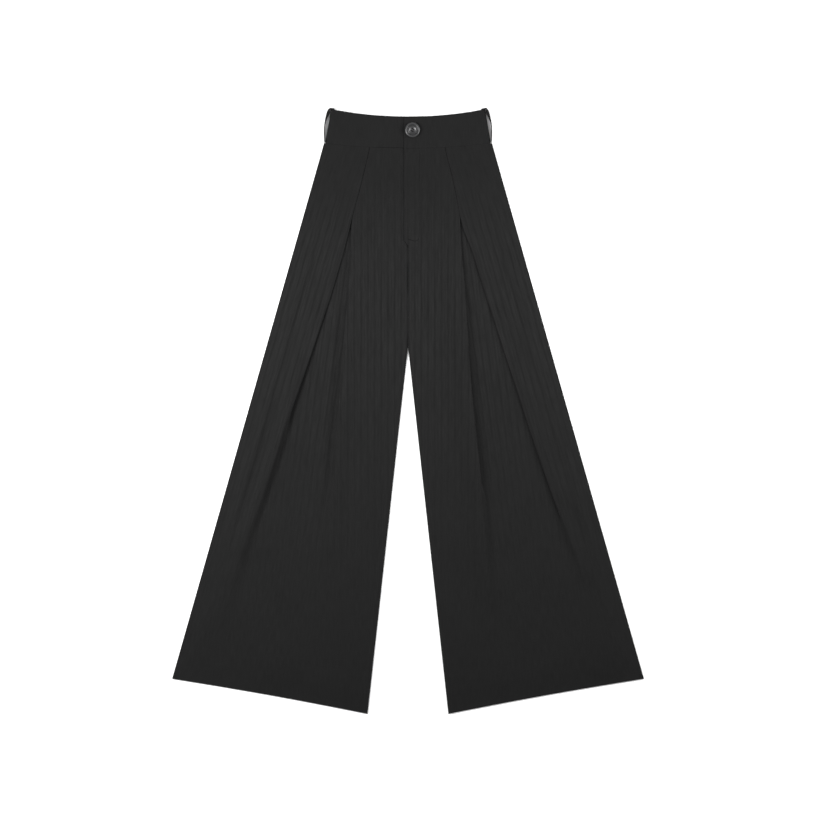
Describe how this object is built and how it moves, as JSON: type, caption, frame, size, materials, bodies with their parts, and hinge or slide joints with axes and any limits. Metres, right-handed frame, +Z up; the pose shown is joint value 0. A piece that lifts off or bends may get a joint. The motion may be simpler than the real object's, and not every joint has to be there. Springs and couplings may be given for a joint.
{
  "type": "hanfu trousers",
  "caption": "Wide-legged trousers laid flat, with a lapped fly, a buttoned waistband, side belt loops and an inverted box pleat opening down each front.",
  "frame": {"origin": "under the middle of the garment's outline, on the surface that it lies on", "axes": "+Y up the garment to the waist, +X to the wearer's left, +Z up from the surface, out of the front"},
  "size_m": [0.8256, 1.0598, 0.0127],
  "materials": {
    "suiting": "matt charcoal suiting with a faint tone-on-tone stripe",
    "horn": "polished near-black horn look"
  },
  "bodies": {
    "root": {"front_left": "suiting", "front_right": "suiting", "back_left": "suiting", "back_right": "suiting", "waistband_front_left": "suiting", "waistband_front_right": "suiting", "waistband_back": "suiting", "belt_loop_left": "suiting", "belt_loop_right": "suiting", "button": "horn"}
  },
  "joints": []
}
